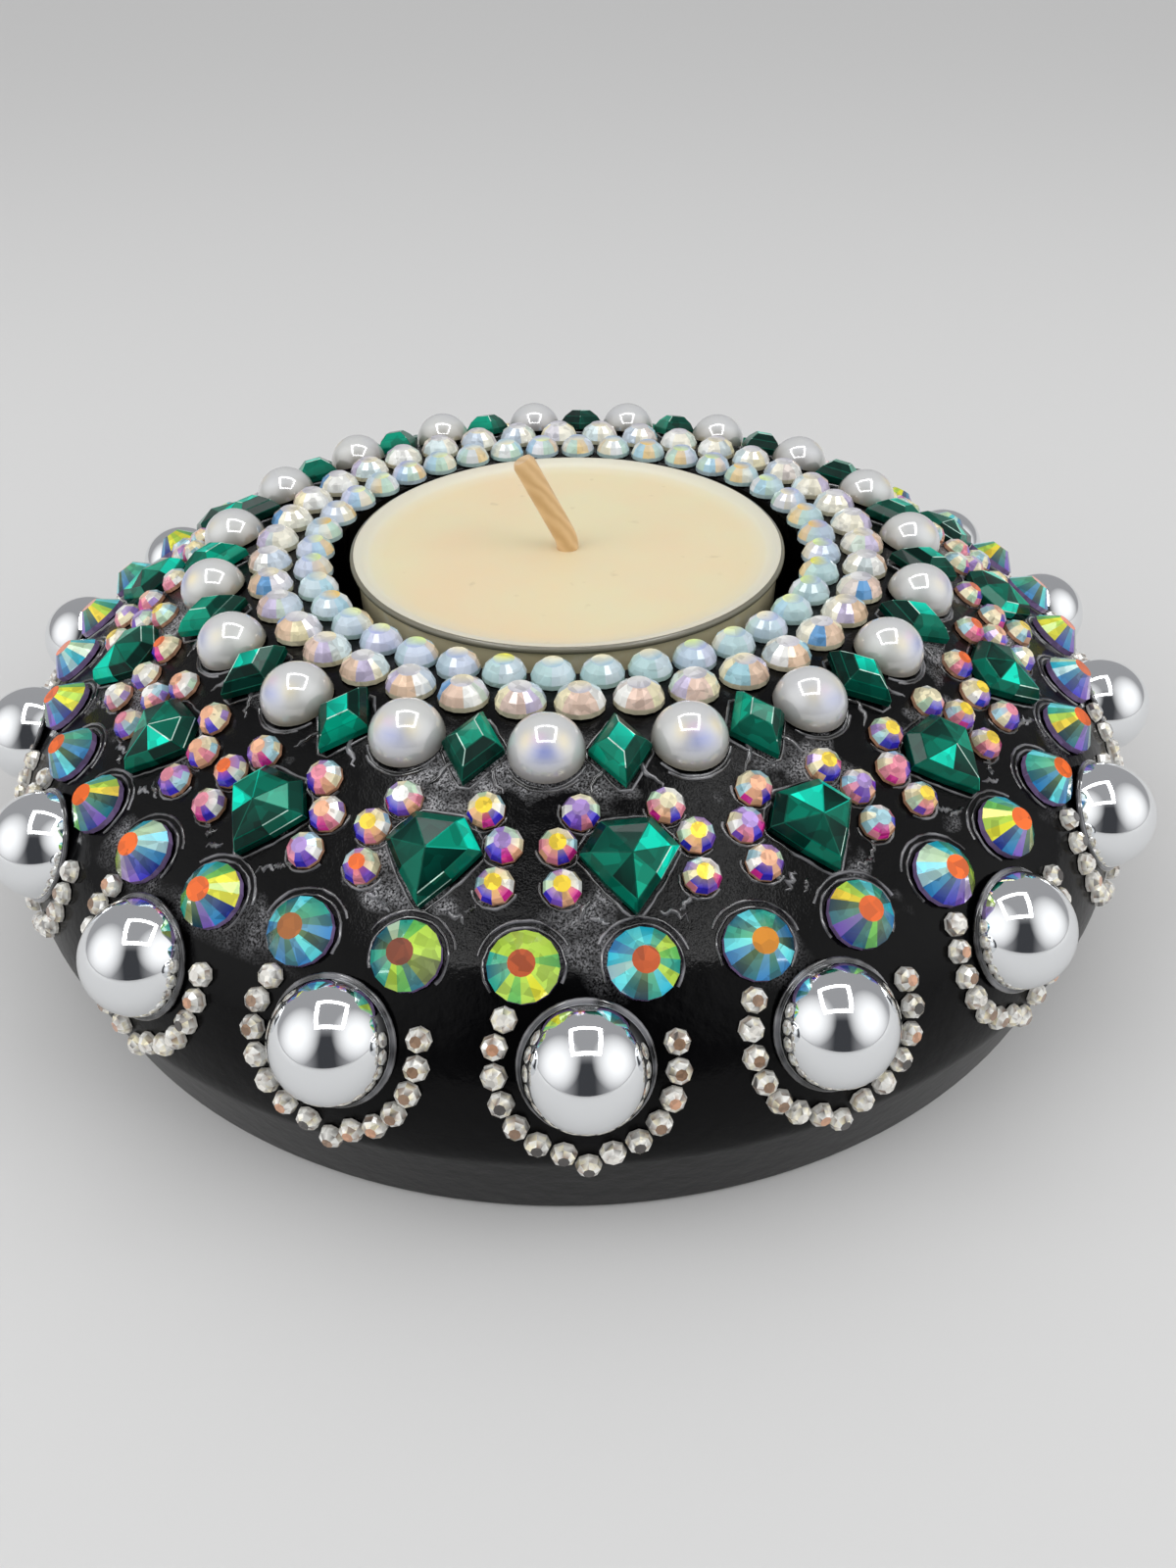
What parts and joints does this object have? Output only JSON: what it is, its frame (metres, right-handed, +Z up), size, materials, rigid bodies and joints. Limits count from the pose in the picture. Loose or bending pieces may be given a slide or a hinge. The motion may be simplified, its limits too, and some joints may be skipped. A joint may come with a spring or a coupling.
{
  "type": "candle ring",
  "caption": "Round black resin candle ring with a domed top covered in rows of glued stones, mirror domes and half pearls, round a well that holds a loose tealight.",
  "frame": {"origin": "centre of the flat base, on the surface that the holder stands on", "axes": "+Z up out of the well, -Y to the front as pictured, +X to the viewer's right"},
  "size_m": [0.1044, 0.1056, 0.0373],
  "materials": {
    "resin": "gloss on the dome, satin on the side",
    "mirror_metal": "mirror",
    "emerald": "faceted, foil-backed",
    "pearl": "pearl lustre",
    "large_crystal": "faceted, iridescent",
    "small_crystal": "faceted, iridescent",
    "halo_crystal": "faceted, clear",
    "opal": "faceted, milky",
    "clear_crystal": "faceted, iridescent",
    "cup_plastic": "thin and clear, shows the wax",
    "wax": "smooth wax",
    "wick": "waxed cotton",
    "sustainer_metal": "plain"
  },
  "bodies": {
    "holder": {"holder_body": "resin", "chrome_dome_01": "mirror_metal", "chrome_dome_02": "mirror_metal", "chrome_dome_03": "mirror_metal", "chrome_dome_04": "mirror_metal", "chrome_dome_05": "mirror_metal", "chrome_dome_06": "mirror_metal", "chrome_dome_07": "mirror_metal", "chrome_dome_08": "mirror_metal", "chrome_dome_09": "mirror_metal", "chrome_dome_10": "mirror_metal", "chrome_dome_11": "mirror_metal", "chrome_dome_12": "mirror_metal", "chrome_dome_13": "mirror_metal", "chrome_dome_14": "mirror_metal", "chrome_dome_15": "mirror_metal", "chrome_dome_16": "mirror_metal", "chrome_dome_17": "mirror_metal", "chrome_dome_18": "mirror_metal", "emerald_kite_01": "emerald", "emerald_kite_02": "emerald", "emerald_kite_03": "emerald", "emerald_kite_04": "emerald", "emerald_kite_05": "emerald", "emerald_kite_06": "emerald", "emerald_kite_07": "emerald", "emerald_kite_08": "emerald", "emerald_kite_09": "emerald", "emerald_kite_10": "emerald", "emerald_kite_11": "emerald", "emerald_kite_12": "emerald", "emerald_kite_13": "emerald", "emerald_kite_14": "emerald", "emerald_kite_15": "emerald", "emerald_kite_16": "emerald", "emerald_kite_17": "emerald", "emerald_kite_18": "emerald", "emerald_rhombi": "emerald", "pearl_cabochons": "pearl", "large_ab_stones": "large_crystal", "small_ab_stones": "small_crystal", "halo_crystals": "halo_crystal", "opal_row": "opal", "clear_row": "clear_crystal"},
    "tealight": {"tealight_cup": "cup_plastic", "tealight_wax": "wax", "tealight_wick": "wick", "wick_sustainer": "sustainer_metal"}
  },
  "joints": [
    {"name": "tealight_lift", "type": "slide", "parent": "holder", "child": "tealight", "axis": [0, 0, 1], "range_m": [0, 0.02]}
  ]
}
